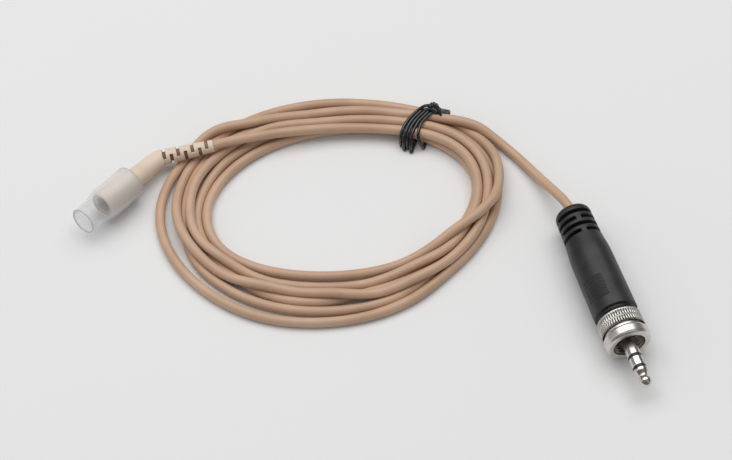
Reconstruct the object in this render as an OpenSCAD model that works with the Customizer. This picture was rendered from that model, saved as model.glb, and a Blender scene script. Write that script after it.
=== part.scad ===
// Headset microphone lead: a small angled connector with a clear guard sleeve at one end,
// a tied coil of thin cord, and a locking 3.5 mm plug at the other end.
// Millimetres. The lead lies on z = 0, and the origin is under the middle of the small connector.

/* [Cord] */
// Diameter of the cord
cord_d = 2.4; // [2.2:0.1:2.4]
// Height of the tied coil
coil_height = 6; // [5:0.5:7]
// Half length of the coil's outer oval
coil_outer_a = 42.8; // [41:0.1:44]
// Half width of the coil's outer oval
coil_outer_b = 33.8; // [33:0.1:35]
// Half length of the opening inside the coil
coil_inner_a = 32.8; // [30:0.1:33]
// Half width of the opening inside the coil
coil_inner_b = 20; // [18:0.1:21]

/* [Small connector] */
// Direction in which the connector's neck points, from +X
connector_az = 50; // [45:1:55]
// How far the connector's nose is tilted up
connector_tilt = 6; // [3:1:8]
// Direction of the strain relief, from +X
relief_az = 10.5; // [8:0.5:13]
// How far the strain relief rises
relief_rise = 7.8; // [6:0.1:9]
// Diameter of the hard housing
housing_d = 7.5; // [7.3:0.1:7.5]
// Length of the hard housing
housing_length = 10.5; // [10:0.1:11]
// Length of the moulded neck, from the housing to the bend
neck_length = 10.3; // [9:0.1:11]
// Length of the slotted strain relief, from the bend to its end
relief_length = 13.8; // [13.6:0.1:15]
// Number of slots in the strain relief
relief_slots = 7; // [5:1:7]
// Bore of the socket that takes the headset's own plug
socket_d = 4; // [3.6:0.1:4]
// Depth of that socket
socket_depth = 4; // [3:0.1:4]
// Outside diameter of the clear sleeve over the housing
sleeve_d = 8.5; // [8.4:0.1:9]
// Outside diameter of the clear sleeve at its open mouth
sleeve_mouth_d = 6.7; // [6.5:0.1:7]
// Length of the clear sleeve
sleeve_length = 17.3; // [16:0.1:19]

/* [Locking plug] */
// Direction in which the plug points, from +X
plug_az = -72; // [-80:1:-64]
// Diameter of the boot at its front rim
boot_d = 10.9; // [10.5:0.1:11]
// Diameter of the boot behind its grip
boot_rear_d = 10.3; // [9.8:0.1:10.4]
// Diameter of the plug's strain relief at its end
plug_relief_d = 9.1; // [8.8:0.1:9.2]
// Place of the black boot's front rim along the plug
boot_length = 34.2; // [33.5:0.1:34.4]
// Outside diameter of the lock ring
ring_d = 11.3; // [11:0.1:11.6]
// Length of the lock ring
ring_length = 7.8; // [7.6:0.1:8]
// How far the lock ring floats along the plug
ring_float = 1.2; // [0.8:0.1:1.2]
// Diameter of the jack's shaft
jack_d = 3.5; // [3.5:0.1:3.5]
// Place of the tip along the plug
plug_length = 54.4; // [54:0.1:55]

/* [Hidden] */
$fn = 48;

// Gap between parts that are pressed or moulded together, and the running gap of moving ones
fit_gap = 0.05;

// Small connector: places along its axis run from the housing's back (0) towards the mouth (+)
sleeve_wall = 0.4;
housing_r = housing_d / 2;
housing_bore_r = 3;
housing_back = 1.2;
nose_start = housing_length - 0.9;
nose_r = 3.3;
sleeve_r = sleeve_d / 2;
sleeve_bore_r = housing_r + fit_gap;
sleeve_mouth_r = sleeve_mouth_d / 2;
sleeve_taper = [9.9, 13.1];
neck_r = [2.6, 2.25];
relief_r = [2.05, 1.5];
slot_width = 0.85;
slot_first = 1.4;
slot_pitch = 1.775;
slot_arc = 205;
core_r = 0.8;
connector_pos = [-3, 1.5, sleeve_r * cos(connector_tilt) + 0.02];
neck_dir = [cos(connector_az) * cos(connector_tilt), sin(connector_az) * cos(connector_tilt),
    -sin(connector_tilt)];
relief_dir = [cos(relief_az) * cos(relief_rise), sin(relief_az) * cos(relief_rise),
    sin(relief_rise)];
bend_pos = connector_pos + neck_length * neck_dir;
relief_end = bend_pos + relief_length * relief_dir;
bend_outside_az = (connector_az + relief_az) / 2;

// Plug: places along its axis run towards the tip (+), and the boot's cord end is at boot_start
ring_r = ring_d / 2;
plug_pos = [103.8, -7.1, ring_r];
plug_dir = [cos(plug_az), sin(plug_az), 0];
boot_start = 1.9;
plug_relief_length = 11.2;
shoulder_end = 14.5;
boot_cavity_r = 3.6;
boot_cavity_start = 16;
slot_row_first = 4.35;
slot_row_pitch = 1.95;
slot_row_count = 4;
ring_start = boot_length + 0.25;
clip_start = ring_start + 1;
clip_width = 0.6;
clip_r = 3.9;
neck_bush_r = 2.6;
flange_r = 3.3;
flange_start = clip_start + clip_width + ring_float + 0.2;
flange_width = 1.2;
ring_bore_r = 3.42;
thread_minor_r = 3.55;
thread_major_r = 3.9;
thread_pitch = 0.75;
jack_r = jack_d / 2;
jack_start = flange_start + flange_width;
insulator_width = 0.7;
rear_insulator_at = plug_length - 8.9;
front_insulator_at = plug_length - 5.7;
neck_back = 31;
tail_start = neck_back - 0.8;
tail_r = jack_r - 0.16;
cord_end = 18;
clamp_end = 20;
clamp_r = 2.1;
mould_bore_r = 2.3;
plug_fan_end = 22;
tip_lug_at = 25.8;
ring_lug_at = 28.9;
plug_wire_r = 0.2;

// Coil and tie
coil_outer_pos = [46, -4];
coil_outer_turn = 9.5;
coil_inner_pos = [48, -2];
coil_inner_turn = 5;
tie_pos = [68.8, 19.8, 5.6];
tie_az = -18;
tie_width = 6.5;
tie_r = [3.9, 5.6];
cord_r = cord_d / 2;
cord_bore_r = cord_r + 0.06;
cord_sides = 8;

// Routes of the stretches that aren't coiled
start_route = [for (d = [1, 5, 9, relief_length]) bend_pos + d * relief_dir];
start_free = [[19.8, 12.9, 5.2], [23.4, 14.2, 5.2], [27, 15.1, 5.2], [31, 15.9, 5.3]];
lead_free = [[66, 23.6, 4.6], [70.4, 23.1, 4.7], [75.3, 21.1, 4.7], [79, 19.8, 3.8], [82.8, 18.3, 2.7],
    [87, 15.8, 1.8], [91.3, 12, 1.5], [94.9, 7.8, 1.9], [98.4, 2, 3.3], [101.3, -2.8, 4.9]];
lead_end = [for (d = [0, 6, 12, cord_end]) plug_pos + d * plug_dir];

// Catmull-Rom curve through a list of points, with steps pieces between each pair
function curve_point(a, b, c, d, t) =
    0.5 * (2 * b + (c - a) * t + (2 * a - 5 * b + 4 * c - d) * t * t
    + (3 * b - a - 3 * c + d) * t * t * t);
function smooth_path(pts, steps) = let (n = len(pts) - 1)
    [for (i = [0:n - 1]) for (j = [0:steps - 1])
        curve_point(pts[max(i - 1, 0)], pts[i], pts[i + 1], pts[min(i + 2, n)], j / steps), pts[n]];
function unit(v) = v / norm(v);
function tangent(path, i) = unit(path[min(i + 1, len(path) - 1)] - path[max(i - 1, 0)]);
function ring_points(centre, along, r, sides) =
    let (side = unit(cross(along, [0, 0, 1])), up = cross(side, along))
    [for (k = [0:sides - 1]) centre + r * (cos(360 * k / sides) * side + sin(360 * k / sides) * up)];

module tube(path, r, sides) {
    n = len(path);
    points = [for (i = [0:n - 1]) each ring_points(path[i], tangent(path, i), r, sides)];
    walls = [for (i = [0:n - 2]) for (k = [0:sides - 1]) let (a = i * sides + k,
        b = i * sides + (k + 1) % sides) each [[a, a + sides, b], [b, a + sides, b + sides]]];
    first_cap = [for (k = [0:sides - 1]) k];
    last_cap = [for (k = [sides - 1:-1:0]) (n - 1) * sides + k];
    polyhedron(points, concat([first_cap], walls, [last_cap]));
}

// Places its children in the small connector's frame, with +Z towards the mouth
module at_connector() {
    translate(connector_pos) rotate([0, 90 - connector_tilt, connector_az + 180]) children();
}

// Places its children in the strain relief's frame, with +Z from the bend to the cord
module at_relief() {
    translate(bend_pos) rotate([0, 90 - relief_rise, relief_az]) children();
}

// Places its children in the plug's frame, with +Z towards the tip
module at_plug() {
    translate(plug_pos) rotate([0, 90, plug_az]) children();
}

module span(from, to, r) {
    translate([0, 0, from]) cylinder(h = to - from, r = r);
}

module cone(from, to, r1, r2) {
    translate([0, 0, from]) cylinder(h = to - from, r1 = r1, r2 = r2);
}

module pipe(from, to, inner, outer) {
    difference() {
        span(from, to, outer);
        span(from - 1, to + 1, inner);
    }
}

// A slot that runs part of the way round, centred on the given direction
module arc_slot(at, width, inner, outer, arc, centre) {
    translate([0, 0, at - width / 2]) rotate([0, 0, centre - arc / 2])
        rotate_extrude(angle = arc) translate([inner, 0]) square([outer - inner, width]);
}

// Three copies around the axis at the given radius
module three_around(radius) {
    for (i = [0:2]) rotate([0, 0, 120 * i]) translate([radius, 0, 0]) children();
}

contact_circle_r = 1.1;
contact_r = 0.5;
wire_r = 0.35;
socket_floor = housing_length - 0.3 - socket_depth;
insulator_start = 3.2;
fan_end = housing_back + 0.55;

module connector_housing() {
    color([0.80, 0.73, 0.63]) at_connector() difference() {
        union() {
            span(0, nose_start, housing_r);
            cone(nose_start, housing_length, housing_r, nose_r);
        }
        span(-1, housing_length + 1, housing_bore_r);
    }
}

module connector_boot() {
    color([0.80, 0.72, 0.61]) difference() {
        union() {
            at_connector() {
                cone(-neck_length, 0, neck_r[1], neck_r[0]);
                span(-0.01, housing_back, housing_bore_r - fit_gap);
            }
            translate(bend_pos) rotate([90, 0, bend_outside_az]) sphere(r = neck_r[1] + 0.1);
            at_relief() cone(0, relief_length, relief_r[0], relief_r[1]);
        }
        at_connector() {
            span(-neck_length + 1.5, housing_back + 1, core_r + fit_gap);
            span(-4, housing_back + 1, 1.7);
        }
        at_relief() {
            span(0.7, relief_length + 1, cord_bore_r);
            for (i = [0:relief_slots - 1])
                arc_slot(slot_first + i * slot_pitch, slot_width, cord_r + 0.1, 4, slot_arc,
                    i % 2 == 0 ? 130 : -50);
        }
    }
}

module protective_sleeve() {
    color([0.86, 0.87, 0.88, 0.45]) at_connector() rotate_extrude() polygon([
        [sleeve_bore_r, 0], [sleeve_r, 0], [sleeve_r, sleeve_taper[0]],
        [sleeve_mouth_r + 0.05, sleeve_taper[1]], [sleeve_mouth_r, sleeve_length],
        [sleeve_mouth_r - sleeve_wall, sleeve_length],
        [sleeve_mouth_r + 0.05 - sleeve_wall, sleeve_taper[1]], [sleeve_bore_r, sleeve_taper[0]]]);
}

module socket_insulator() {
    color([0.42, 0.36, 0.31]) at_connector() difference() {
        span(insulator_start, housing_length - 0.3, 2.6);
        span(socket_floor, housing_length + 1, socket_d / 2);
        three_around(contact_circle_r) span(insulator_start - 1, socket_floor + 1, contact_r + fit_gap);
    }
}

module contact_sockets() {
    color([0.84, 0.70, 0.38]) at_connector() three_around(contact_circle_r) difference() {
        span(insulator_start - 0.8, socket_floor - 0.1, contact_r);
        span(socket_floor - 1.6, socket_floor + 1, contact_r - 0.2);
    }
}

module shield_shell() {
    color([0.78, 0.78, 0.76]) at_connector()
        pipe(2.2, housing_length - 0.3, 2.6 + fit_gap, housing_bore_r - fit_gap);
}

module inner_mould() {
    color([0.90, 0.89, 0.84]) at_connector() difference() {
        span(housing_back + fit_gap, insulator_start - 1, 2.5);
        three_around(contact_circle_r) span(0, insulator_start, wire_r + fit_gap);
        span(0, fan_end + 0.1, contact_circle_r + wire_r + 0.2);
    }
}

module crimp_ferrule() {
    color([0.80, 0.79, 0.75]) at_connector() pipe(-3.6, 0.8, core_r + fit_gap, 1.65);
}

module connector_wires() {
    color([0.62, 0.40, 0.30]) at_connector() {
        span(-neck_length + 1.7, fan_end - 0.25, core_r);
        cone(fan_end - 0.3, fan_end, core_r, contact_circle_r + wire_r - 0.1);
        three_around(contact_circle_r) span(fan_end - 0.05, insulator_start - 0.85, wire_r);
    }
}

module cord_start() {
    color([0.76, 0.62, 0.52]) tube(smooth_path(concat(start_route, start_free), 2), cord_r, cord_sides);
}

module cord_lead() {
    color([0.76, 0.62, 0.52]) tube(smooth_path(concat(lead_free, lead_end), 2), cord_r, cord_sides);
}

module oval(centre, a, b, turn, height) {
    translate(centre) rotate([0, 0, turn]) scale([a, b, 1]) cylinder(h = height, r = 1);
}

// The whole coil as one closed band, cut back where the strain relief lies over it
module cord_coil() {
    color([0.74, 0.60, 0.50]) difference() {
        oval([coil_outer_pos[0], coil_outer_pos[1], 0], coil_outer_a, coil_outer_b, coil_outer_turn,
            coil_height);
        oval([coil_inner_pos[0], coil_inner_pos[1], -1], coil_inner_a, coil_inner_b, coil_inner_turn,
            coil_height + 2);
        at_relief() {
            cone(-3, relief_length + 1.2, 2.6, 1.7);
            translate([-8, -2.2, -3]) cube([8, 4.4, relief_length + 4.2]);
        }
    }
}

module cord_tie() {
    color([0.12, 0.12, 0.13]) translate(tie_pos) rotate([0, 90, tie_az]) {
        translate([0, 0, -tie_width / 2]) difference() {
            cylinder(h = tie_width, r = tie_r[1]);
            translate([0, 0, -1]) cylinder(h = tie_width + 2, r = tie_r[0]);
        }
        translate([-tie_r[1] + 0.4, 1, -1.5]) rotate([0, 20, 0]) cylinder(h = 7, r = 1.3);
    }
}

module plug_boot() {
    color([0.20, 0.20, 0.21]) at_plug() difference() {
        rotate_extrude() polygon([[0, boot_start], [plug_relief_d / 2 - 1.2, boot_start],
            [plug_relief_d / 2 - 0.4, boot_start + 0.3], [plug_relief_d / 2, boot_start + 1.1],
            [plug_relief_d / 2 + 0.15, plug_relief_length], [boot_rear_d / 2, shoulder_end],
            [boot_d / 2, boot_length - 1.2], [boot_d / 2 - 0.5, boot_length], [0, boot_length]]);
        span(-1, boot_cavity_start + 1, cord_bore_r);
        cone(boot_start - 0.01, boot_start + 1.5, cord_r + 0.6, cord_bore_r);
        span(boot_cavity_start, boot_length - 3.4, boot_cavity_r);
        span(boot_length - 3.5, boot_length + 1, 4.65);
        for (row = [0:slot_row_count - 1]) for (side = [0:1])
            arc_slot(slot_row_first + row * slot_row_pitch, 0.9, 2.6, 6, 158,
                (row % 2 == 0 ? 180 : 90) + 180 * side);
    }
}

module plug_inner_mould() {
    color([0.88, 0.88, 0.86]) at_plug() difference() {
        span(boot_cavity_start + 0.1, neck_back - 1.2, boot_cavity_r - fit_gap);
        span(boot_cavity_start - 1, clamp_end + 0.4, clamp_r + fit_gap);
        span(clamp_end + 0.3, tail_start, mould_bore_r);
    }
}

module cable_clamp() {
    color([0.82, 0.68, 0.36]) at_plug() pipe(boot_cavity_start + 0.3, clamp_end, cord_bore_r, clamp_r);
}

// One wire inside the plug, at its own distance from the axis and its own direction round it
module plug_wire(radius, direction, to) {
    rotate([0, 0, direction]) translate([radius, 0, 0]) span(plug_fan_end - 0.05, to, plug_wire_r);
}

// The cord's core, and the wires of the tip, the ring and the shield
module plug_wires() {
    color([0.62, 0.40, 0.30]) at_plug() {
        span(cord_end + 0.1, plug_fan_end - 0.6, 0.9);
        cone(plug_fan_end - 0.65, plug_fan_end, 0.9, 2);
        plug_wire(0.85, 0, tip_lug_at - 0.02);
        plug_wire(1.4, 120, ring_lug_at - 0.02);
        plug_wire(1.9, 240, neck_back - 0.3);
    }
}

// Two solder lugs, one riveted to the tip's rod and one to the ring's tube
module solder_lugs() {
    color([0.84, 0.70, 0.38]) at_plug() {
        pipe(tip_lug_at, tip_lug_at + 0.4, 0.6, 1.15);
        pipe(ring_lug_at, ring_lug_at + 0.4, 1.15, 1.55);
    }
}

module plug_neck() {
    color([0.16, 0.16, 0.16]) at_plug() difference() {
        union() {
            span(neck_back, boot_length - 0.1, 4.6);
            span(boot_length - 0.2, flange_start + 0.01, neck_bush_r);
            span(flange_start, jack_start, flange_r);
        }
        span(neck_back - 1, jack_start + 1, tail_r + fit_gap);
    }
}

module retaining_clip() {
    color([0.70, 0.70, 0.70]) at_plug() difference() {
        pipe(clip_start, clip_start + clip_width, neck_bush_r + fit_gap, clip_r);
        translate([0, -0.8, clip_start - 1]) cube([clip_r + 1, 1.6, clip_width + 2]);
    }
}

// The knurled rear band, the smooth front collar and the thread inside it
module lock_ring() {
    band_end = ring_start + 4.4;
    ring_end = ring_start + ring_length;
    thread_start = clip_start + clip_width + ring_float + 1.9;
    color([0.80, 0.79, 0.77]) at_plug() difference() {
        rotate_extrude() polygon([
            [0, ring_start], [ring_r - 0.5, ring_start], [ring_r - 0.2, ring_start + 0.3],
            [ring_r - 0.2, band_end - 0.3], [ring_r - 0.7, band_end], [ring_r - 0.7, band_end + 0.4],
            [ring_r - 0.1, band_end + 0.6], [ring_r, band_end + 1], [ring_r, ring_end - 0.7],
            [ring_r - 0.55, ring_end], [0, ring_end]]);
        span(ring_start - 1, ring_end, ring_bore_r);
        span(clip_start - 0.1, clip_start + clip_width + 0.1, clip_r + fit_gap);
        span(thread_start - 0.5, ring_end + 1, thread_minor_r);
        for (z = [thread_start:thread_pitch:ring_end - 0.8]) rotate_extrude() polygon([
            [thread_minor_r - 0.1, z - 0.35], [thread_major_r, z], [thread_minor_r - 0.1, z + 0.35]]);
        cone(ring_end - 0.5, ring_end + 0.01, thread_minor_r, thread_minor_r + 0.5);
        for (i = [0:35]) rotate([0, 0, 10 * i]) translate([ring_r - 0.32, 0, ring_start + 0.5])
            rotate([0, 0, 45]) cube([0.42, 0.42, 3.4]);
    }
}

// Its thinner tail is pressed into the neck, and its shoulder seats on the neck's flange
module sleeve_contact() {
    color([0.80, 0.79, 0.77]) at_plug() difference() {
        union() {
            span(tail_start, jack_start + 1, tail_r);
            span(jack_start, rear_insulator_at, jack_r);
        }
        span(tail_start - 1, rear_insulator_at + 1, 1.4);
    }
}

module rear_insulator() {
    color([0.08, 0.08, 0.08]) at_plug() difference() {
        union() {
            span(rear_insulator_at, rear_insulator_at + insulator_width, jack_r);
            span(tail_start - 0.5, rear_insulator_at + 0.1, 1.35);
        }
        span(tail_start - 2, rear_insulator_at + 2, 1.15);
    }
}

module ring_contact() {
    color([0.80, 0.79, 0.77]) at_plug() difference() {
        union() {
            span(rear_insulator_at + insulator_width, front_insulator_at, jack_r);
            span(28.2, rear_insulator_at + insulator_width + 0.1, 1.1);
        }
        span(27, plug_length, 0.85);
    }
}

module front_insulator() {
    color([0.08, 0.08, 0.08]) at_plug() difference() {
        union() {
            span(front_insulator_at, front_insulator_at + insulator_width, jack_r);
            span(27.2, front_insulator_at + 0.1, 0.8);
        }
        span(26, plug_length, 0.6);
    }
}

module tip_contact() {
    tip_start = front_insulator_at + insulator_width;
    color([0.80, 0.79, 0.77]) at_plug() {
        span(25.5, tip_start + 0.1, 0.55);
        rotate_extrude() polygon([[0, tip_start], [jack_r, tip_start], [jack_r, tip_start + 0.7],
            [1.15, tip_start + 2.1], [1.5, tip_start + 3.1], [1.5, tip_start + 3.6],
            [1.2, plug_length - 0.6], [0.6, plug_length - 0.1], [0, plug_length]]);
    }
}

connector_housing();
connector_boot();
protective_sleeve();
socket_insulator();
contact_sockets();
shield_shell();
inner_mould();
crimp_ferrule();
connector_wires();
cord_start();
cord_coil();
cord_lead();
cord_tie();
plug_boot();
plug_inner_mould();
cable_clamp();
plug_wires();
solder_lugs();
plug_neck();
retaining_clip();
lock_ring();
sleeve_contact();
rear_insulator();
ring_contact();
front_insulator();
tip_contact();
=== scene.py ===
"""Headset microphone lead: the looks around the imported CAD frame.

Lengths in the shape functions are millimetres, and MM turns them into metres at the last step.
"""

import math

import bmesh
import bpy
import numpy as np
from mathutils import Matrix, Vector


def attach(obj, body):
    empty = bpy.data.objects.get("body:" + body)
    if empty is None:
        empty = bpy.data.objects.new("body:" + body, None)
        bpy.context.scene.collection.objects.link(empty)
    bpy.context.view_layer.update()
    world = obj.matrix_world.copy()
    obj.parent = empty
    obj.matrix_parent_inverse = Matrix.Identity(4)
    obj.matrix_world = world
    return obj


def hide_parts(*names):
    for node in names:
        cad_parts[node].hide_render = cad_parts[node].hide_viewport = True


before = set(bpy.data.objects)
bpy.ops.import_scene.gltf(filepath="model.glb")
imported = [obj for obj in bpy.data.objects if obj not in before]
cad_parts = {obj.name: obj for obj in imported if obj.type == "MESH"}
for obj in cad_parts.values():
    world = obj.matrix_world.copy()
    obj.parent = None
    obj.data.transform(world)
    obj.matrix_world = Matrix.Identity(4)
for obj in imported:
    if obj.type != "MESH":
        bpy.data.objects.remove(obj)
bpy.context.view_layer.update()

MM = 0.001
TAU = 2 * math.pi


# ---------------------------------------------------------------- frame of the design, in millimetres
def direction(azimuth, rise):
    """Unit vector at that azimuth from +X and that angle above the ground, in degrees."""
    a, e = math.radians(azimuth), math.radians(rise)
    return Vector((math.cos(a) * math.cos(e), math.sin(a) * math.cos(e), math.sin(e)))


def along(pos, azimuth, rise):
    """Stands a shape that is built up along +Z at pos, pointing that way. Its +X is then underneath."""
    turn = Matrix.Rotation(math.radians(azimuth), 4, "Z") @ Matrix.Rotation(math.radians(90 - rise), 4, "Y")
    return Matrix.Translation(pos) @ turn


CORD_R = 1.2
SLEEVE_R = 4.25
CONNECTOR_AZ, CONNECTOR_TILT = 50, 6
RELIEF_AZ, RELIEF_RISE = 10.5, 7.8
NECK_LENGTH, RELIEF_LENGTH = 10.3, 13.8
PLUG_AZ = -72
RING_R = 5.65
RING_START = 34.45

CONNECTOR_POS = Vector((-3, 1.5, SLEEVE_R * math.cos(math.radians(CONNECTOR_TILT)) + 0.02))
NECK_DIR = direction(CONNECTOR_AZ, -CONNECTOR_TILT)
RELIEF_DIR = direction(RELIEF_AZ, RELIEF_RISE)
BEND_POS = CONNECTOR_POS + NECK_LENGTH * NECK_DIR
PLUG_POS = Vector((103.8, -7.1, RING_R))
PLUG_DIR = direction(PLUG_AZ, 0)
AT_CONNECTOR = along(CONNECTOR_POS, CONNECTOR_AZ + 180, CONNECTOR_TILT)
AT_PLUG = along(PLUG_POS, PLUG_AZ, 0)


# ---------------------------------------------------------------- camera
def make_camera():
    """Looks down at 55 degrees along +Y, from 0.85 m, at the middle of the coil."""
    target = Vector((54.5, -10, 0)) * MM
    data = bpy.data.cameras.new("camera")
    data.lens = 171.4
    data.sensor_width = 36
    data.clip_start = 0.01
    camera = bpy.data.objects.new("camera", data)
    bpy.context.scene.collection.objects.link(camera)
    back = direction(-90, 55)
    camera.location = target + 0.85 * back
    camera.rotation_euler = (-back).to_track_quat("-Z", "Y").to_euler()
    bpy.context.scene.camera = camera


# ---------------------------------------------------------------- the cord's route, in millimetres
START_FREE = [(19.8, 12.9, 5.2), (23.4, 14.2, 5.2), (27, 15.1, 5.2), (31, 15.9, 5.3)]
START_TOP = [(38.1, 16.9, 5.3), (50.5, 19.2, 3.6), (60.5, 18.2, 3.2), (65.5, 17.6, 3.4)]
LEAD_FREE = [(66, 22.4, 3.6), (70.4, 21.8, 4.2), (75.3, 20.3, 4.4), (79, 19.4, 3.6), (82.8, 18.3, 2.7),
             (87, 15.8, 1.8), (91.3, 12, 1.5), (94.9, 7.8, 1.9), (98.4, 2, 3.3), (101.3, -2.8, 4.9)]

# Sections through the coil, clockwise from the tie. Each has a point, the direction in which the
# lanes are measured from it, and then every turn's lane and height there.
SECTIONS = [
    ((70.4, 18), 90, [(-1.3, 3.6), (1.4, 3.8), (6.4, 1.8), (-0.7, 1.3), (1.7, 1.3), (4.1, 1.3)]),
    ((75.3, 13), 90, [(0.7, 3.3), (4.0, 3.3), (7.5, 2.0), (0.4, 1.2), (3.1, 1.2), (5.9, 1.2)]),
    ((79, 12.4), 0, [(0.1, 3.4), (2.9, 3.4), (6.2, 3.2), (0.4, 1.2), (3.0, 1.2), (5.3, 1.2)]),
    ((82, 2), 0, [(0.0, 3.5), (2.5, 3.5), (5.2, 3.5), (0.2, 1.2), (2.7, 1.2), (5.2, 1.2)]),
    ((81.4, -3.2), 0, [(0.0, 3.5), (2.3, 3.5), (4.4, 4.8), (0.5, 1.2), (3.0, 1.2), (5.4, 1.2)]),
    ((79.7, -6.6), -27, [(0.2, 3.3), (2.4, 3.4), (3.2, 5.7), (0.0, 1.2), (2.4, 1.2), (4.8, 1.2)]),
    ((76.6, -12.6), -38.5, [(1.6, 3.3), (4.2, 3.3), (0.7, 5.4), (0.6, 1.2), (3.1, 1.2), (5.6, 1.2)]),
    ((69.5, -16.6), -60, [(3.2, 3.1), (6.0, 3.1), (0.4, 3.7), (2.0, 1.2), (4.6, 1.2), (7.2, 1.2)]),
    ((62.7, -21.5), -90, [(3.7, 2.6), (7.5, 2.7), (0.0, 1.4), (5.5, 1.2), (9.7, 1.2), (12.2, 1.2)]),
    ((50.6, -24), -90, [(3.3, 1.8), (7.3, 2.7), (0.0, 1.2), (5.6, 1.2), (9.6, 1.2), (12.6, 1.2)]),
    ((38.6, -24), -90, [(3.1, 1.5), (5.7, 1.5), (0.0, 1.2), (8.1, 1.2), (10.5, 1.2), (13.8, 1.2)]),
    ((26.5, -21.4), -90, [(3.7, 2.8), (7.1, 2.8), (0.0, 1.3), (5.5, 1.2), (10.1, 1.2), (14.2, 1.2)]),
    ((16.3, -14.2), 225, [(2.6, 3.3), (5.6, 3.4), (0.0, 3.0), (1.6, 1.2), (6.0, 1.2), (10.2, 1.2)]),
    ((14.2, -7), 180, [(3.2, 3.5), (5.6, 3.4), (0.0, 3.2), (1.2, 1.2), (4.8, 1.2), (10.4, 1.2)]),
    ((16.6, -1.5), 180, [(5.6, 3.6), (7.4, 2.2), (0.0, 1.3), (2.5, 1.2), (5.0, 1.2), (12.7, 1.2)]),
    ((19.2, 4.2), 180, [(6.2, 3.5), (8.9, 1.9), (0.0, 1.2), (2.6, 1.2), (6.3, 1.2), (12, 1.2)]),
    ((22.6, 8.4), 141, [(7.0, 2.5), (10.2, 1.3), (0.0, 1.2), (3.4, 1.2), (8.2, 1.2), (11.9, 1.5)]),
    ((26.5, 12.3), 110, [(4.6, 3.2), (9.2, 1.2), (0.0, 1.2), (2.8, 1.2), (5.6, 1.2), (7.1, 3.3)]),
    ((38.1, 17), 90, [(1.8, 3.3), (9.6, 1.2), (0.0, 1.2), (2.9, 1.2), (5.9, 1.2), (5.2, 3.3)]),
    ((50.5, 20.9), 90, [(1.4, 3.3), (7.3, 1.2), (-0.3, 1.2), (2.2, 1.2), (4.7, 1.2), (4.0, 3.3)]),
    ((60.5, 18.9), 90, [(1.2, 3.1), (6.9, 1.2), (-0.1, 1.2), (2.2, 1.2), (4.5, 1.2), (3.5, 3.2)]),
]
TURNS = 6
ROUTE_STEP = 1.3  # distance between the points of the finished route
HELD_AT_PLUG = 24  # length of route at the plug's end that settling leaves alone
RELIEF_CLEAR = 1.9  # radius round the relief's axis that the cord's surface stays out of
GUIDE_PULL = 0.012  # share of the way back to its guide that a round takes the cord
SINK = 0.015  # distance that a round lets it sink
PUSH_SHARE = 0.8  # share of an overlap that one push takes away


def section_point(section, turn):
    (x, y), azimuth, lanes = section
    lane, height = lanes[turn]
    a = math.radians(azimuth)
    return (x + lane * math.cos(a), y + lane * math.sin(a), height)


def rough_route():
    """Out of the strain relief, over the top to the tie, six turns, and off to the plug."""
    points = [tuple(BEND_POS + d * RELIEF_DIR) for d in (1, 5, 9, RELIEF_LENGTH)]
    points += START_FREE + START_TOP
    for turn in range(TURNS):
        points += [section_point(s, turn) for s in SECTIONS]
    points += LEAD_FREE + [tuple(PLUG_POS + d * PLUG_DIR) for d in (0, 6, 12, 18)]
    return np.array(points, float)


def smooth_curve(points, steps=8):
    """Centripetal Catmull-Rom curve through the points."""
    ends = np.vstack([2 * points[0] - points[1], points, 2 * points[-1] - points[-2]])
    out = []
    for a, b, c, d in zip(ends, ends[1:], ends[2:], ends[3:]):
        t1 = math.sqrt(np.linalg.norm(b - a))
        t2 = t1 + math.sqrt(np.linalg.norm(c - b))
        t3 = t2 + math.sqrt(np.linalg.norm(d - c))
        for t in np.linspace(t1, t2, steps, endpoint=False):
            ab = a + (b - a) * t / t1
            bc = b + (c - b) * (t - t1) / (t2 - t1)
            cd = c + (d - c) * (t - t2) / (t3 - t2)
            abc = ab + (bc - ab) * t / t2
            bcd = bc + (cd - bc) * (t - t1) / (t3 - t1)
            out.append(abc + (bcd - abc) * (t - t1) / (t2 - t1))
    return np.array(out + [points[-1]])


def evenly(points, step):
    """The same line with its points a step apart."""
    s = np.concatenate([[0], np.cumsum(np.linalg.norm(np.diff(points, axis=0), axis=1))])
    places = np.linspace(0, s[-1], int(round(s[-1] / step)) + 1)
    return np.stack([np.interp(places, s, points[:, k]) for k in range(3)], 1)


def stiffener(n, free, amount):
    """Matrix that takes every point towards the smoothest line, and leaves the held ones."""
    second = np.zeros((n, n))
    rows = np.arange(1, n - 1)
    second[rows, rows - 1] = second[rows, rows + 1] = 1
    second[rows, rows] = -2
    weight = np.where(free > 0, 1.0, 1e4)
    return np.linalg.inv(np.diag(weight) + amount * second.T @ second) * weight[None, :]


def near_pairs(route, reach):
    """Pairs of points of different stretches that are closer than reach."""
    r = route.astype(np.float32)
    square = (r ** 2).sum(1)
    gap = square[:, None] + square[None, :] - 2 * r @ r.T
    i, j = np.nonzero(gap < reach * reach)
    keep = j - i > 6
    return i[keep], j[keep]


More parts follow.
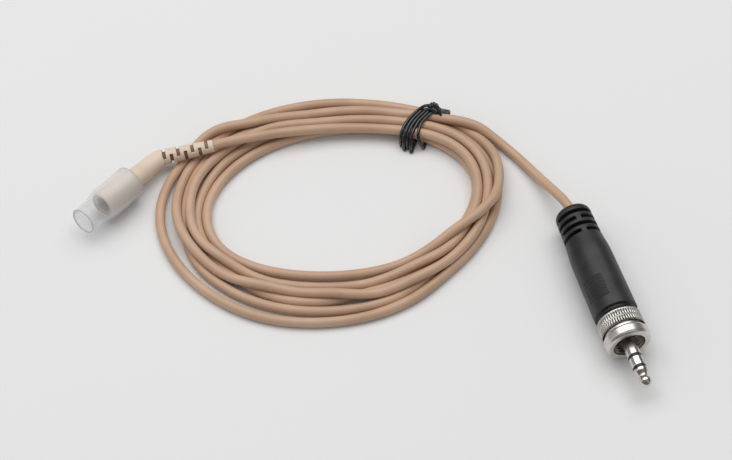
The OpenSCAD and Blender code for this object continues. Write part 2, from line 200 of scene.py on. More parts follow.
def settle(route, rounds=150):
    """Lays the cord down: turns push each other apart, rest on the ground and stay smooth."""
    n = len(route)
    index = np.arange(n)
    held_start = int((RELIEF_LENGTH + 1) / ROUTE_STEP)
    held_end = n - int(HELD_AT_PLUG / ROUTE_STEP)
    free = ((index > held_start) & (index < held_end)).astype(float)
    guide = stiffener(n, free, 500) @ route
    route = guide.copy()
    smooth, last = stiffener(n, free, 4), stiffener(n, free, 0.8)
    shares = np.linspace(0, 1, 25)
    relief = np.array([tuple(BEND_POS + float(t) * RELIEF_LENGTH * RELIEF_DIR) for t in shares])
    passing = (index > held_start + 8).astype(float)
    for k in range(rounds):
        if k % 10 == 0:
            i, j = near_pairs(route, 2 * CORD_R + 1.5)
        route = route + GUIDE_PULL * (guide - route) * free[:, None]
        route[:, 2] -= SINK * free
        route = (smooth if k < rounds - 25 else last) @ route
        for _ in range(3):
            gap = route[i] - route[j]
            apart = np.linalg.norm(gap, axis=1) + 1e-9
            push = gap / apart[:, None] * np.maximum(2 * CORD_R - apart, 0)[:, None]
            total, hits = np.zeros_like(route), np.zeros(n)
            np.add.at(total, i, push)
            np.add.at(total, j, -push)
            np.add.at(hits, i, apart < 2 * CORD_R)
            np.add.at(hits, j, apart < 2 * CORD_R)
            route = route + PUSH_SHARE * total / np.maximum(hits, 1)[:, None] * free[:, None]
            away = route[:, None, :] - relief[None, :, :]
            reach = np.linalg.norm(away, axis=2)
            nearest = reach.argmin(1)
            vector, reach = away[index, nearest], reach[index, nearest]
            deep = np.maximum(CORD_R + RELIEF_CLEAR - reach, 0) * passing * free
            route = route + vector / reach[:, None] * deep[:, None]
            route[:, 2] = np.maximum(route[:, 2], CORD_R)
    return route


def make_cord():
    route = settle(evenly(smooth_curve(rough_route()), ROUTE_STEP))
    return tube("cord", route, CORD_R, 20), route


# ---------------------------------------------------------------- shape helpers
def skin(name, rings, joined=False):
    """A mesh over rings of points in millimetres.

    A ring of one point closes an end, and joined makes a torus of them."""
    bm = bmesh.new()
    loops = [[bm.verts.new(Vector(p) * MM) for p in ring] for ring in rings]
    pairs = list(zip(loops, loops[1:])) + ([(loops[-1], loops[0])] if joined else [])
    for a, b in pairs:
        n = max(len(a), len(b))
        for i in range(n):
            corners = [a[i % len(a)], a[(i + 1) % len(a)], b[(i + 1) % len(b)], b[i % len(b)]]
            bm.faces.new(list(dict.fromkeys(corners)))
    bmesh.ops.recalc_face_normals(bm, faces=bm.faces)
    for face in bm.faces:
        face.smooth = True
    mesh = bpy.data.meshes.new(name)
    bm.to_mesh(mesh)
    bm.free()
    piece = bpy.data.objects.new(name, mesh)
    bpy.context.scene.collection.objects.link(piece)
    return piece


def tube(name, line, radius, sides):
    """Round bar along the line, with its ends drawn in a little."""
    heading = np.gradient(line, axis=0)
    heading /= np.linalg.norm(heading, axis=1)[:, None]
    left = np.cross((0.0, 0.0, 1.0), heading[0])
    turn = np.linspace(0, TAU, sides, endpoint=False)
    rings = [[tuple(line[0])]]
    for k, (place, ahead) in enumerate(zip(line, heading)):
        left = left - left.dot(ahead) * ahead
        left /= np.linalg.norm(left)
        up = np.cross(ahead, left)
        size = radius * (0.75 if k in (0, len(line) - 1) else 1)
        rings.append([tuple(place + size * (math.cos(a) * left + math.sin(a) * up)) for a in turn])
    return skin(name, rings + [[tuple(line[-1])]])


def rounded(profile, radius, joined=False):
    """The (r, z) line with its corners rounded, and a point just before and after each round."""
    n = len(profile)
    out = []
    for k, corner in enumerate(profile):
        p = Vector(corner[:2])
        size = corner[2] if len(corner) > 2 else radius
        if not joined and k in (0, n - 1):
            out.append(p)
            continue
        a, b = Vector(profile[k - 1][:2]) - p, Vector(profile[(k + 1) % n][:2]) - p
        cut = min(size, 0.42 * a.length, 0.42 * b.length)
        start, end = p + a.normalized() * cut, p + b.normalized() * cut
        lead = min(0.06, 0.06 * a.length), min(0.06, 0.06 * b.length)
        out.append(start + a.normalized() * lead[0])
        for t in (0, 0.25, 0.5, 0.75, 1):
            out.append((1 - t) ** 2 * start + 2 * t * (1 - t) * p + t ** 2 * end)
        out.append(end + b.normalized() * lead[1])
    return [(v.x, v.y) for v in out]


def lathe(name, profile, at, segments=96, joined=False, angles=None, shape=None):
    """Turns an (r, z) profile about its axis. shape(r, z, angle) may change each radius."""
    angles = angles or [TAU * i / segments for i in range(segments)]
    rings = []
    for r, z in profile:
        if r < 1e-6:
            rings.append([at @ Vector((0, 0, z))])
            continue
        ring = []
        for a in angles:
            size = shape(r, z, a) if shape else r
            ring.append(at @ Vector((size * math.cos(a), size * math.sin(a), z)))
        rings.append(ring)
    return skin(name, rings, joined)


def step(x, width):
    """Smooth step from 0 to 1, centred on 0."""
    t = min(max(x / width + 0.5, 0), 1)
    return t * t * (3 - 2 * t)


def window(x, start, end, soft):
    """1 between start and end, 0 outside, with soft edges."""
    return step(x - start, soft) * step(end - x, soft)


def off_angle(a, centre):
    """How far angle a, in radians, is from a centre in degrees, in degrees from 0 to 180."""
    return abs((math.degrees(a) - centre + 180) % 360 - 180)


def slot_heights(edges, soft, low, high, pitch):
    """Places for rings: an even row, and close ones at each edge."""
    places = list(np.arange(low, high, pitch)) + [high]
    for edge in edges:
        places += [edge + soft * t for t in (-0.6, -0.4, -0.2, 0, 0.2, 0.4, 0.6)]
    places = sorted(float(p) for p in places if low <= p <= high)
    kept = [places[0]]
    for p in places[1:]:
        if p - kept[-1] > 0.012:
            kept.append(p)
    return kept


def slot_angles(ends, soft, count):
    """The same for angles, in radians. ends and soft are degrees."""
    places = [360 * i / count for i in range(count)]
    for end in ends:
        places += [(end + soft * t) % 360 for t in (-0.6, -0.3, 0, 0.3, 0.6)]
    places.sort()
    kept = [places[0]]
    for p in places[1:]:
        if p - kept[-1] > 0.25:
            kept.append(p)
    return [math.radians(p) for p in kept]


def dress(piece, body, slot, *nodes):
    """The piece rides on that body, takes that slot's material and stands for those CAD nodes."""
    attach(piece, body)
    piece.data.materials.append(MATERIALS[slot])
    if nodes:
        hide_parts(*nodes)
    return piece


# ---------------------------------------------------------------- materials
def material(name, dark, light, rough, metallic=0.0, blotch=250, grain=(4000, 0.15, 0.00002), wear=None,
             coat=0.0, specular=0.5, lines=None, film=None):
    """Principled shader. Blotches run from dark to light, rough is a range of roughness, and grain is
    (scale, strength, depth). wear is the colour of the rubbed edges. lines adds fine turning marks.
    film is how opaque a clear wall is face on and edge on."""
    m = bpy.data.materials.new(name)
    m.use_nodes = True
    nodes, links = m.node_tree.nodes, m.node_tree.links
    shader = nodes["Principled BSDF"]
    shader.inputs["Metallic"].default_value = metallic
    shader.inputs["Coat Weight"].default_value = coat
    shader.inputs["Coat Roughness"].default_value = 0.12
    shader.inputs["Specular IOR Level"].default_value = specular
    place = nodes.new("ShaderNodeTexCoord").outputs["Object"]

    def noise(scale, detail=4.0, vector=place):
        n = nodes.new("ShaderNodeTexNoise")
        n.inputs["Scale"].default_value = scale
        n.inputs["Detail"].default_value = detail
        links.new(vector, n.inputs["Vector"])
        return n.outputs["Fac"]

    ramp = nodes.new("ShaderNodeValToRGB")
    ramp.color_ramp.elements[0].position = 0.32
    ramp.color_ramp.elements[0].color = (*dark, 1)
    ramp.color_ramp.elements[1].position = 0.68
    ramp.color_ramp.elements[1].color = (*light, 1)
    links.new(noise(blotch, 6.0), ramp.inputs["Fac"])
    colour = ramp.outputs["Color"]
    if wear:
        edge = nodes.new("ShaderNodeMapRange")
        edge.inputs["From Min"].default_value = 0.53
        edge.inputs["From Max"].default_value = 0.62
        edge.inputs["To Max"].default_value = 0.45
        links.new(nodes.new("ShaderNodeNewGeometry").outputs["Pointiness"], edge.inputs["Value"])
        rubbed = nodes.new("ShaderNodeMix")
        rubbed.data_type = "RGBA"
        rubbed.inputs[7].default_value = (*wear, 1)
        links.new(edge.outputs["Result"], rubbed.inputs[0])
        links.new(colour, rubbed.inputs[6])
        colour = rubbed.outputs[2]
    links.new(colour, shader.inputs["Base Color"])

    spread = nodes.new("ShaderNodeMapRange")
    spread.inputs["To Min"].default_value = rough[0]
    spread.inputs["To Max"].default_value = rough[1]
    links.new(noise(blotch * 2.3, 3.0), spread.inputs["Value"])
    links.new(spread.outputs["Result"], shader.inputs["Roughness"])

    scale, strength, depth = grain
    bump = nodes.new("ShaderNodeBump")
    bump.inputs["Strength"].default_value = strength
    bump.inputs["Distance"].default_value = depth
    links.new(noise(scale, 3.0), bump.inputs["Height"])
    normal = bump.outputs["Normal"]
    if lines:
        axis, pitch, cut = lines
        dot = nodes.new("ShaderNodeVectorMath")
        dot.operation = "DOT_PRODUCT"
        dot.inputs[1].default_value = tuple(axis)
        links.new(place, dot.inputs[0])
        marks = nodes.new("ShaderNodeTexNoise")
        marks.noise_dimensions = "1D"
        marks.inputs["Scale"].default_value = 1 / (pitch * MM)
        marks.inputs["Detail"].default_value = 2.0
        links.new(dot.outputs["Value"], marks.inputs["W"])
        turned = nodes.new("ShaderNodeBump")
        turned.inputs["Strength"].default_value = cut
        turned.inputs["Distance"].default_value = 0.00002
        links.new(marks.outputs["Fac"], turned.inputs["Height"])
        links.new(normal, turned.inputs["Normal"])
        normal = turned.outputs["Normal"]
    links.new(normal, shader.inputs["Normal"])
    if film:
        facing = nodes.new("ShaderNodeLayerWeight")
        facing.inputs["Blend"].default_value = 0.3
        opacity = nodes.new("ShaderNodeMapRange")
        opacity.inputs["To Min"].default_value, opacity.inputs["To Max"].default_value = film
        links.new(facing.outputs["Facing"], opacity.inputs["Value"])
        links.new(opacity.outputs["Result"], shader.inputs["Alpha"])
    return m


def make_materials():
    turning = (PLUG_DIR, 0.09, 0.35)
    return {
        "cord_jacket": material("cord_jacket", (0.50, 0.325, 0.215), (0.60, 0.400, 0.275), (0.34, 0.5),
                                blotch=90, grain=(1800, 0.25, 0.00003), specular=0.45),
        "beige_plastic": material("beige_plastic", (0.70, 0.60, 0.50), (0.78, 0.68, 0.575), (0.35, 0.5),
                                  blotch=220, grain=(3500, 0.2, 0.00002), wear=(0.74, 0.64, 0.52)),
        "beige_boot": material("beige_boot", (0.70, 0.565, 0.445), (0.79, 0.65, 0.525), (0.42, 0.58),
                               blotch=180, grain=(2600, 0.3, 0.00003), wear=(0.76, 0.64, 0.51)),
        "clear_sleeve": material("clear_sleeve", (0.78, 0.78, 0.79), (0.85, 0.85, 0.86), (0.14, 0.26),
                                 blotch=160, grain=(900, 0.12, 0.00003), film=(0.12, 0.8)),
        # painted shade: a darker, more opaque copy of the clear film for the sleeve's rims, standing in for
        # the dark edge of the clear wall
        "sleeve_rim_painted_shade": material("sleeve_rim_painted_shade", (0.50, 0.50, 0.51), (0.60, 0.60, 0.61), (0.16, 0.3),
                               blotch=160, grain=(900, 0.12, 0.00003), film=(0.6, 0.95)),
        # painted shade: dark brown laid on the faces down inside the relief's slots, where little light
        # reaches
        "painted_slot_shade": material("painted_slot_shade", (0.20, 0.115, 0.065), (0.28, 0.165, 0.10), (0.5, 0.65),
                               blotch=400),
        "dark_insulator": material("dark_insulator", (0.44, 0.375, 0.32), (0.52, 0.445, 0.385), (0.4, 0.55)),
        "gold_contact": material("gold_contact", (0.80, 0.56, 0.24), (0.90, 0.68, 0.34), (0.16, 0.3), 1.0),
        "tinned_shell": material("tinned_shell", (0.52, 0.51, 0.49), (0.66, 0.65, 0.63), (0.3, 0.45), 1.0),
        "natural_mould": material("natural_mould", (0.68, 0.66, 0.58), (0.76, 0.74, 0.67), (0.4, 0.6)),
        "conductor": material("conductor", (0.34, 0.13, 0.07), (0.44, 0.2, 0.11), (0.4, 0.55)),
        "black_tie": material("black_tie", (0.010, 0.010, 0.011), (0.022, 0.022, 0.025), (0.2, 0.34),
                              blotch=700, grain=(3000, 0.2, 0.00003), coat=0.6),
        "black_boot": material("black_boot", (0.014, 0.014, 0.015), (0.024, 0.024, 0.026), (0.36, 0.52),
                               blotch=240, grain=(5200, 0.35, 0.00003), wear=(0.05, 0.05, 0.052)),
        # the bush's own black, also laid on the plug boot's mouth as painted shade
        "black_bush": material("black_bush", (0.008, 0.007, 0.007), (0.016, 0.015, 0.014), (0.35, 0.5)),
        "spring_steel": material("spring_steel", (0.42, 0.41, 0.40), (0.55, 0.54, 0.52), (0.22, 0.38), 1.0),
        "nickel": material("nickel", (0.62, 0.59, 0.55), (0.76, 0.73, 0.69), (0.17, 0.32), 1.0, blotch=500,
                           grain=(6000, 0.12, 0.00001), wear=(0.86, 0.84, 0.80), lines=turning),
        "nickel_satin": material("nickel_satin", (0.64, 0.61, 0.57), (0.76, 0.73, 0.69), (0.26, 0.42), 1.0,
                                 blotch=500, grain=(6000, 0.2, 0.00001), wear=(0.86, 0.84, 0.80),
                                 lines=turning),
        # painted shade: darker nickel for the lock ring's threaded recess, where little light reaches
        "painted_thread_shade": material("painted_thread_shade", (0.13, 0.11, 0.095), (0.24, 0.205, 0.18), (0.2, 0.36), 1.0,
                                 blotch=600, grain=(6000, 0.12, 0.00001)),
        "black_insulator": material("black_insulator", (0.006, 0.006, 0.006), (0.014, 0.013, 0.012),
                                    (0.25, 0.4)),
    }


# ---------------------------------------------------------------- small connector
def make_housing():
    profile = [(3.0, 0), (3.75, 0, 0.25), (3.75, 9.6, 0.35), (3.3, 10.5, 0.18), (3.0, 10.5, 0.1)]
    return lathe("housing", rounded(profile, 0.1, True), AT_CONNECTOR, 112, joined=True)


def make_sleeve():
    """Clear sleeve, wide over the housing and narrower beyond it, with a very slight rim."""
    profile = [(3.8, 0.05, 0.1), (4.25, 0, 0.18), (4.25, 9.9, 1.2), (3.42, 13.1, 1.2), (3.35, 17.0, 0.3),
               (3.4, 17.3, 0.12), (2.96, 17.3, 0.12), (2.95, 17.0, 0.3), (3.02, 13.1, 1.2), (3.8, 9.95, 0.8)]
    return lathe("sleeve", rounded(profile, 0.1, True), AT_CONNECTOR, 128, joined=True)


def make_connector_face():
    """The insulator inside the housing, and the thin shell round it."""
    profile = [(0, 3.2), (2.6, 3.2), (2.6, 10.2, 0.25), (2.05, 10.2, 0.12), (1.95, 6.2, 0.1), (0, 6.2)]
    face = lathe("insulator", rounded(profile, 0.1), AT_CONNECTOR, 80)
    shell = lathe("shell", rounded([(2.65, 2.2), (2.95, 2.2), (2.95, 10.2), (2.65, 10.2)], 0.08, True),
                  AT_CONNECTOR, 80, joined=True)
    return face, shell


SLOT_MIDDLES = (130, -50)  # angles that the slots take in turn
RELIEF_SLOTS = [(1.4 + 1.775 * i, SLOT_MIDDLES[i % 2]) for i in range(7)]
SLOT_HALF, SLOT_ARC = 0.4, 102.5  # half a slot's width, and half its arc in degrees
SLOT_FLOOR_R = 1.32
RELIEF_BASE_R, RELIEF_TIP_R = 2.08, 1.52


def boot_path():
    """Middle line of the neck, the bend and the strain relief: (distance, point, direction)."""
    before, after, inside = 2.6, 0.85, 1.2
    start, corner = CONNECTOR_POS - inside * NECK_DIR, BEND_POS
    path = []
    for d in np.linspace(0, NECK_LENGTH + inside - before, 22):
        path.append((start + float(d) * NECK_DIR, NECK_DIR))
    a, b = corner - before * NECK_DIR, corner + after * RELIEF_DIR
    for t in np.linspace(0, 1, 22)[1:-1]:
        t = float(t)
        point = (1 - t) ** 2 * a + 2 * t * (1 - t) * corner + t ** 2 * b
        heading = (2 * (1 - t) * (corner - a) + 2 * t * (b - corner)).normalized()
        path.append((point, heading))
    edges = [at + side * SLOT_HALF for at, _ in RELIEF_SLOTS for side in (-1, 1)]
    for z in slot_heights(edges + [RELIEF_LENGTH - 0.35], 0.12, after, RELIEF_LENGTH, 0.3):
        path.append((corner + z * RELIEF_DIR, RELIEF_DIR))
    return path


def boot_radius(point):
    """Outer radius of the boot there, before the slots."""
    past = (point - BEND_POS).dot(RELIEF_DIR)
    back = (BEND_POS - point).dot(NECK_DIR)
    if past > 0.84:
        lip = 0.3 * max(0, 1 - (RELIEF_LENGTH - past) / 0.35) ** 2
        return RELIEF_BASE_R + (RELIEF_TIP_R - RELIEF_BASE_R) * past / RELIEF_LENGTH - lip
    if back > NECK_LENGTH:
        return 2.72
    blend = step(past - 0.7 * back, 3.6)
    return (2.25 + 0.4 * max(back, 0) / NECK_LENGTH) * (1 - blend) + RELIEF_BASE_R * blend


def make_connector_boot():
    """Soft boot swept along its bend, with slots cut into alternate sides of the relief."""
    ends = [centre + side * SLOT_ARC for centre in SLOT_MIDDLES for side in (-1, 1)]
    angles = slot_angles([e % 360 for e in ends], 6, 112)
    rings = []
    path = boot_path()
    for point, heading in path:
        left = Vector((0, 0, 1)).cross(heading).normalized()
        down = left.cross(heading)
        size = boot_radius(point)
        past = (point - BEND_POS).dot(RELIEF_DIR)
        ring = []
        for a in angles:
            cut = 0.0
            if heading == RELIEF_DIR:
                for at, centre in RELIEF_SLOTS:
                    across = window(past, at - SLOT_HALF, at + SLOT_HALF, 0.1)
                    cut = max(cut, across * step(SLOT_ARC - off_angle(a, centre), 6))
            r = size + (SLOT_FLOOR_R - size) * cut
            ring.append(point + r * (math.cos(a) * down + math.sin(a) * left))
        rings.append(ring)
    first, last = path[0], path[-1]
    inner = []
    for point, heading, r in ((last[0], last[1], 1.3), (last[0] - 0.8 * last[1], last[1], 1.24)):
        left = Vector((0, 0, 1)).cross(heading).normalized()
        down = left.cross(heading)
        inner.append([point + r * (math.cos(a) * down + math.sin(a) * left) for a in angles])
    rings = [[first[0]]] + rings + inner + [[last[0] - 0.8 * last[1]]]
    boot = skin("connector_boot_skin", rings)
    # Faces down inside the slots take material 1, a painted shade for the dark that the slots hold
    for face in boot.data.polygons:
        middle = face.center / MM
        along_relief = (middle - BEND_POS).dot(RELIEF_DIR)
        off_axis = (middle - BEND_POS - along_relief * RELIEF_DIR).length
        if 0.9 < along_relief < RELIEF_LENGTH - 0.2 and off_axis < boot_radius(middle) - 0.14:
            face.material_index = 1
    return boot


# ---------------------------------------------------------------- plug
BOOT_ROWS = [(4.35 + 1.95 * i, (180, 0) if i % 2 == 0 else (90, 270)) for i in range(4)]
BOOT_START = 1.9
PLUG_SLOT_HALF, PLUG_SLOT_ARC = 0.45, 79
PLUG_SLOT_FLOOR_R = 2.6
GRIP = (24.2, 1.05, 6)  # first ridge, pitch, count
GRIP_ANGLE, GRIP_ARC = 220, 30
RIDGE_HALF, RIDGE_DEPTH = 0.28, 0.16


def plug_boot_shape(r, z, a):
    """Slots of the strain relief and the fine grip ridges on the upper side."""
    if z < 12 and r > PLUG_SLOT_FLOOR_R:
        for at, centres in BOOT_ROWS:
            arc = max(step(PLUG_SLOT_ARC - off_angle(a, c), 6) for c in centres)
            r += (PLUG_SLOT_FLOOR_R - r) * window(z, at - PLUG_SLOT_HALF, at + PLUG_SLOT_HALF, 0.14) * arc
    first, pitch, count = GRIP
    if r > 4.8 and first - pitch < z < first + pitch * count:
        middles = [first + pitch * k for k in range(count)]
        ridge = max(window(z, m - RIDGE_HALF, m + RIDGE_HALF, 0.3) for m in middles)
        r -= RIDGE_DEPTH * ridge * step(GRIP_ARC - off_angle(a, GRIP_ANGLE), 8)
    return r


def make_plug_boot():
    edges = [at + side * PLUG_SLOT_HALF for at, _ in BOOT_ROWS for side in (-1, 1)]
    first, pitch, count = GRIP
    edges += [first + pitch * k + side * RIDGE_HALF for k in range(count) for side in (-1, 1)]
    b = BOOT_START
    outline = [(3.0, b, 0.2), (3.9, b + 0.1, 0.5), (4.45, b + 0.9, 0.7), (4.72, 11.3, 1.2), (5.2, 15, 2.4),
               (5.45, 33.0, 0.15), (4.8, 33.3, 0.1), (4.75, 34.2, 0.1)]
    smooth = rounded(outline, 0.3)
    zs = [z for _, z in smooth]
    rs = [r for r, _ in smooth]
    outer = [(r, z) for r, z in smooth if z < b + 0.8]
    outer += [(float(np.interp(z, zs, rs)), z) for z in slot_heights(edges, 0.14, b + 0.82, 32.4, 0.45)]
    outer += [(r, z) for r, z in smooth if z > 32.45]
    inner = [(4.68, 34.2), (4.62, 34.1), (4.62, 30.7), (3.6, 30.6), (3.6, 16), (1.3, 15.9), (1.24, b + 0.3),
             (1.4, b + 0.02)]
    angles = slot_angles([101, 259, 79, 281, 11, 169, 191, 349, 190, 250], 7, 120)
    return lathe("plug_boot_skin", outer + inner, AT_PLUG, joined=True, angles=angles, shape=plug_boot_shape)


KNURLS = 52


def ring_shape(r, z, a):
    """Fine diamond knurl round the rear band, of two steep crossing sets of grooves."""
    if r < 5.3 or z > RING_START + 4.3:
        return r
    depth = 0.17 * window(z, RING_START + 0.38, RING_START + 4.0, 0.4)
    turns, rise = a * KNURLS / TAU, 0.34 * (z - RING_START)
    waves = [abs(((turns + side * rise) % 1) * 2 - 1) for side in (-1, 1)]
    return r - depth * (1 - min(1, 1.5 * min(waves)))


def make_lock_ring():
    z = RING_START
    band = [(5.15, z, 0.15), (5.47, z + 0.3, 0.2)]
    band += [(4.9, z + 4.36, 0.1), (4.9, z + 4.8, 0.1), (5.5, z + 4.95, 0.15), (5.66, z + 5.3, 0.2),
             (5.66, z + 6.9, 0.15), (5.4, z + 7.55, 0.15), (5.0, z + 7.8, 0.1), (3.98, z + 7.75, 0.1)]
    thread = []
    turn = z + 7.3
    while turn > z + 4.9:
        thread += [(3.9, turn, 0.04), (3.55, turn - 0.32, 0.04), (3.55, turn - 0.42, 0.04)]
        turn -= 0.75
    bore = [(3.55, z + 4.6, 0.05), (3.42, z + 4.5, 0.05), (3.42, z + 1.75, 0.04), (3.94, z + 1.7, 0.04),
            (3.94, z + 0.9, 0.04), (3.42, z + 0.85, 0.04), (3.42, z + 0.1, 0.08), (3.6, z, 0.05)]
    profile = rounded(band + thread + bore, 0.1, True)
    rows = [(5.47, z + 0.42 + 0.1 * k) for k in range(37)]
    at = next(k for k, p in enumerate(profile) if p[1] > z + 0.4)
    profile = profile[:at] + rows + [p for p in profile[at:] if p[0] < 5.46 or p[1] > z + 4.2]
    return lathe("ring_skin", profile, AT_PLUG, KNURLS * 8, joined=True, shape=ring_shape)


def make_neck():
    profile = [(1.64, 31), (4.6, 31, 0.2), (4.6, 34.1, 0.15), (2.6, 34.1, 0.15), (2.6, 37.45, 0.1),
               (3.3, 37.5, 0.12), (3.3, 38.65, 0.25), (2.1, 38.65, 0.1), (2.0, 38.45, 0.05), (1.64, 38.4)]
    return lathe("neck_skin", rounded(profile, 0.1, True), AT_PLUG, 88, joined=True)


def make_jack():
    """The three poles and the two rings between them, each turned with small chamfers."""
    def turned(name, profile, joined=True):
        return lathe(name, rounded(profile, 0.07, joined), AT_PLUG, 80, joined=joined)
    sleeve = turned("pole_sleeve", [(1.4, 30.2), (1.59, 30.2), (1.59, 38.65), (1.75, 38.65),
                                    (1.75, 45.5, 0.14), (1.4, 45.5)])
    rear = turned("pole_gap_rear", [(1.15, 29.7), (1.35, 29.7), (1.35, 45.45), (1.7, 45.5),
                                    (1.7, 46.2), (1.15, 46.2)])
    middle = turned("pole_ring", [(0.85, 28.2), (1.1, 28.2), (1.1, 46.15), (1.75, 46.2, 0.14),
                                  (1.75, 48.7, 0.14), (0.85, 48.7)])
    front = turned("pole_gap_front", [(0.6, 27.2), (0.8, 27.2), (0.8, 48.65), (1.7, 48.7),
                                      (1.7, 49.4), (0.6, 49.4)])
    tip = turned("pole_tip", [(0, 25.5), (0.55, 25.5), (0.55, 49.35), (1.75, 49.4, 0.16), (1.75, 50.1, 0.3),
                              (1.15, 51.5, 0.5), (1.5, 52.5, 0.4), (1.5, 53.0, 0.4), (1.2, 53.8, 0.4),
                              (0.6, 54.3, 0.3), (0, 54.4)], joined=False)
    return sleeve, rear, middle, front, tip


# ---------------------------------------------------------------- tie
TIE_POS = Vector((68.2, 21.4, 0))
TIE_AZ = -14
WIRE_R = 0.4


def bundle_outline(route, samples=96):
    """Distance of the bundle's skin from its middle, for each angle round it, where the tie is."""
    run, side = direction(TIE_AZ, 0), direction(TIE_AZ + 90, 0)
    spots = []
    for p in route:
        q = Vector(p) - TIE_POS
        if abs(q.dot(run)) < 1.0 and abs(q.dot(side)) < 9:
            spots.append((q.dot(side), p[2]))
    spots = np.array(spots)
    middle = (spots.min(0) + spots.max(0)) / 2
    points = []
    for k in range(samples):
        a = TAU * k / samples
        out = np.array([math.cos(a), math.sin(a)])
        reach = ((spots - middle) @ out).max() + CORD_R + WIRE_R + 0.03
        points.append((a, reach))
    # The envelope of those half-planes is the taut loop round the bundle
    loop = []
    for a, _ in points:
        best = 99.0
        for b, reach in points:
            c = math.cos(a - b)
            if c > 0.05:
                best = min(best, reach / c)
        loop.append((middle[0] + best * math.cos(a), max(middle[1] + best * math.sin(a), WIRE_R)))
    return np.array(loop)


def tie_point(loop, turn, drift, slack, fan):
    """Point on the wrap at that many turns round the bundle.

    Slack lets it hang below, and fan spreads it there."""
    n = len(loop)
    at = (turn * n) % n
    i = int(at)
    side, height = loop[i] + (loop[(i + 1) % n] - loop[i]) * (at - i)
    angle = TAU * turn
    hang = max(0.0, math.cos(angle - math.radians(200))) ** 3
    side -= slack * hang
    height = max(height - 0.9 * slack * hang, WIRE_R + 0.02)
    shift = drift + 0.55 * side + 0.03 * side * side + fan * hang
    place = TIE_POS + direction(TIE_AZ + 90, 0) * side + direction(TIE_AZ, 0) * shift
    return Vector((place.x, place.y, height))


def bridge(a, b, rise):
    """Three points from a to b over a low hump."""
    return [a + (b - a) * t + Vector((0, 0, rise * math.sin(math.pi * t))) for t in (0.25, 0.5, 0.75)]


def make_tie(route):
    """Coated wire wound five times round the bundle, slack below, with its ends twisted together."""
    loop = bundle_outline(route)
    top = 0.15  # where round the bundle the winding starts and ends
    slacks, fans = [1.8, 2.9, 2.2, 3.2, 1.2], [0.6, 0.9, 0.6, 1.0, 2.6]
    wraps = len(slacks)
    wire = []
    for k in np.linspace(0, wraps, wraps * 56 + 1):
        k = float(k)
        turn = min(int(k), wraps - 1)
        wire.append(tie_point(loop, top + k, -1.8 + 0.86 * k, slacks[turn], fans[turn]))
    start, end = wire[0], wire[-1]
    knot = (start + end) / 2 + Vector((0.3, 0.6, 0.9))
    out = direction(12, 4)
    twist = [[], []]
    for t in np.linspace(0, 1, 60):
        t = float(t)
        droop = Vector((0, -1.9 * t ** 3, 0.7 * math.sin(math.pi * t) - 1.6 * t ** 3))
        spine = knot + out * (3.1 * t) + droop
        side = Vector((0.1, 0.86, 0.5)).normalized()
        up = out.cross(side)
        for k in range(2):
            a = TAU * 2.4 * t + math.pi * k
            twist[k].append(spine + 0.42 * (math.cos(a) * side + math.sin(a) * up))
    first, second = bridge(start, twist[0][0], 0.5), bridge(end, twist[1][0], 0.3)
    line = twist[0][::-1] + first[::-1] + wire + second + twist[1]
    line = evenly(smooth_curve(np.array([tuple(p) for p in line]), 3), 0.28)
    return tube("tie_wire", line, WIRE_R, 12)


# ---------------------------------------------------------------- floor and light
FLOOR_R = 3000


def make_floor():
    rim = [FLOOR_R * direction(360 * k / 64, 0) for k in range(64)]
    floor = skin("floor", [[Vector((0, 0, 0))], rim])
    paint = material("floor_paint", (0.80, 0.80, 0.80), (0.815, 0.815, 0.815), (0.75, 0.9), blotch=3,
                     grain=(400, 0.05, 0.0001), specular=0.2)
    floor.data.materials.append(paint)


def area_light(name, place, target, size, power, colour=(1, 1, 1)):
    data = bpy.data.lights.new(name, "AREA")
    data.shape = "RECTANGLE"
    data.size, data.size_y = size
    data.energy = power
    data.color = colour
    light = bpy.data.objects.new(name, data)
    bpy.context.scene.collection.objects.link(light)
    light.location = place
    light.rotation_euler = (Vector(target) - Vector(place)).to_track_quat("-Z", "Y").to_euler()


def make_light():
    scene = bpy.context.scene
    scene.view_settings.view_transform = "Standard"
    world = bpy.data.worlds.new("studio")
    world.use_nodes = True
    nodes, links = world.node_tree.nodes, world.node_tree.links
    soft = nodes["Background"]
    soft.inputs["Color"].default_value = (1, 1, 1, 1)
    soft.inputs["Strength"].default_value = 0.34
    dim = nodes.new("ShaderNodeBackground")
    dim.inputs["Color"].default_value = (1, 0.98, 0.96, 1)
    dim.inputs["Strength"].default_value = 0.12
    mix = nodes.new("ShaderNodeMixShader")
    links.new(nodes.new("ShaderNodeLightPath").outputs["Is Glossy Ray"], mix.inputs[0])
    links.new(soft.outputs[0], mix.inputs[1])
    links.new(dim.outputs[0], mix.inputs[2])
    links.new(mix.outputs[0], nodes["World Output"].inputs[0])
    scene.world = world
    middle = (0.055, -0.01, 0)
    area_light("overhead", (-0.05, 0.4, 1.2), middle, (1.9, 1.1), 14.2)
    area_light("left", (-1.0, -0.1, 0.55), middle, (0.35, 0.7), 1.1)
    area_light("right", (0.9, -0.4, 0.7), middle, (0.25, 0.6), 0.5)


# ---------------------------------------------------------------- the model
SLEEVE_ENDS = (0.1, 17.05)  # beyond these the clear sleeve takes a darker, more opaque film, painted shade on its rims
BOOT_MOUTH = 33.15  # where the painted shade on the plug boot's mouth starts
THREAD_OUTER_R = 3.9  # within this the lock ring takes painted shade, a darker nickel for its threaded recess
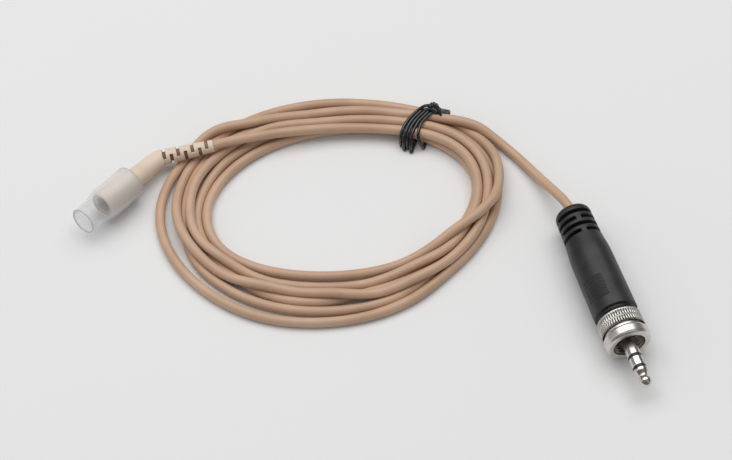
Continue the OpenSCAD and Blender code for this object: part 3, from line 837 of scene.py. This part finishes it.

make_camera()
MATERIALS = make_materials()
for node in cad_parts.values():
    node.data.materials.clear()
CARRIED = {"contact_sockets": "gold_contact", "inner_mould": "natural_mould", "crimp_ferrule": "tinned_shell",
           "connector_wires": "conductor", "plug_inner_mould": "natural_mould", "cable_clamp": "gold_contact",
           "plug_wires": "conductor", "solder_lugs": "gold_contact", "retaining_clip": "spring_steel"}
for name, slot in CARRIED.items():
    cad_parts[name].data.materials.append(MATERIALS[slot])

cord, route = make_cord()
dress(cord, "lead", "cord_jacket", "cord_start", "cord_coil", "cord_lead")

dress(make_housing(), "lead", "beige_plastic", "connector_housing")
face, shell = make_connector_face()
dress(face, "lead", "dark_insulator", "socket_insulator")
dress(shell, "lead", "tinned_shell", "shield_shell")
boot = dress(make_connector_boot(), "lead", "beige_boot", "connector_boot")
# material 1 of the boot is the painted shade inside the relief's slots
boot.data.materials.append(MATERIALS["painted_slot_shade"])
sleeve = dress(make_sleeve(), "guard_sleeve", "clear_sleeve", "protective_sleeve")
# The sleeve's rims get the darker film, painted shade for the dark edge the clear wall shows there
sleeve.data.materials.append(MATERIALS["sleeve_rim_painted_shade"])
for face in sleeve.data.polygons:
    past = (face.center / MM - CONNECTOR_POS).dot(-NECK_DIR)
    if past > SLEEVE_ENDS[1] or past < SLEEVE_ENDS[0]:
        face.material_index = 1
plug_boot = dress(make_plug_boot(), "lead", "black_boot", "plug_boot")
# The boot's mouth takes the darker black of the bush, painted shade for the dark band in front of the lock
# ring
plug_boot.data.materials.append(MATERIALS["black_bush"])
for face in plug_boot.data.polygons:
    if (face.center / MM - PLUG_POS).dot(PLUG_DIR) > BOOT_MOUTH:
        face.material_index = 1
dress(make_neck(), "lead", "black_bush", "plug_neck")
ring = dress(make_lock_ring(), "ring", "nickel", "lock_ring")
ring.data.materials[0] = MATERIALS["nickel_satin"]
# material 1 of the ring is painted shade on the faces of the threaded recess
ring.data.materials.append(MATERIALS["painted_thread_shade"])
for face in ring.data.polygons:
    middle = face.center / MM - PLUG_POS
    if (middle - middle.dot(PLUG_DIR) * PLUG_DIR).length < THREAD_OUTER_R:
        face.material_index = 1
poles = ["sleeve_contact", "rear_insulator", "ring_contact", "front_insulator", "tip_contact"]
for piece, node in zip(make_jack(), poles):
    dress(piece, "lead", "black_insulator" if "insulator" in node else "nickel", node)
dress(make_tie(route), "lead", "black_tie", "cord_tie")

make_floor()
make_light()
bpy.context.view_layer.update()
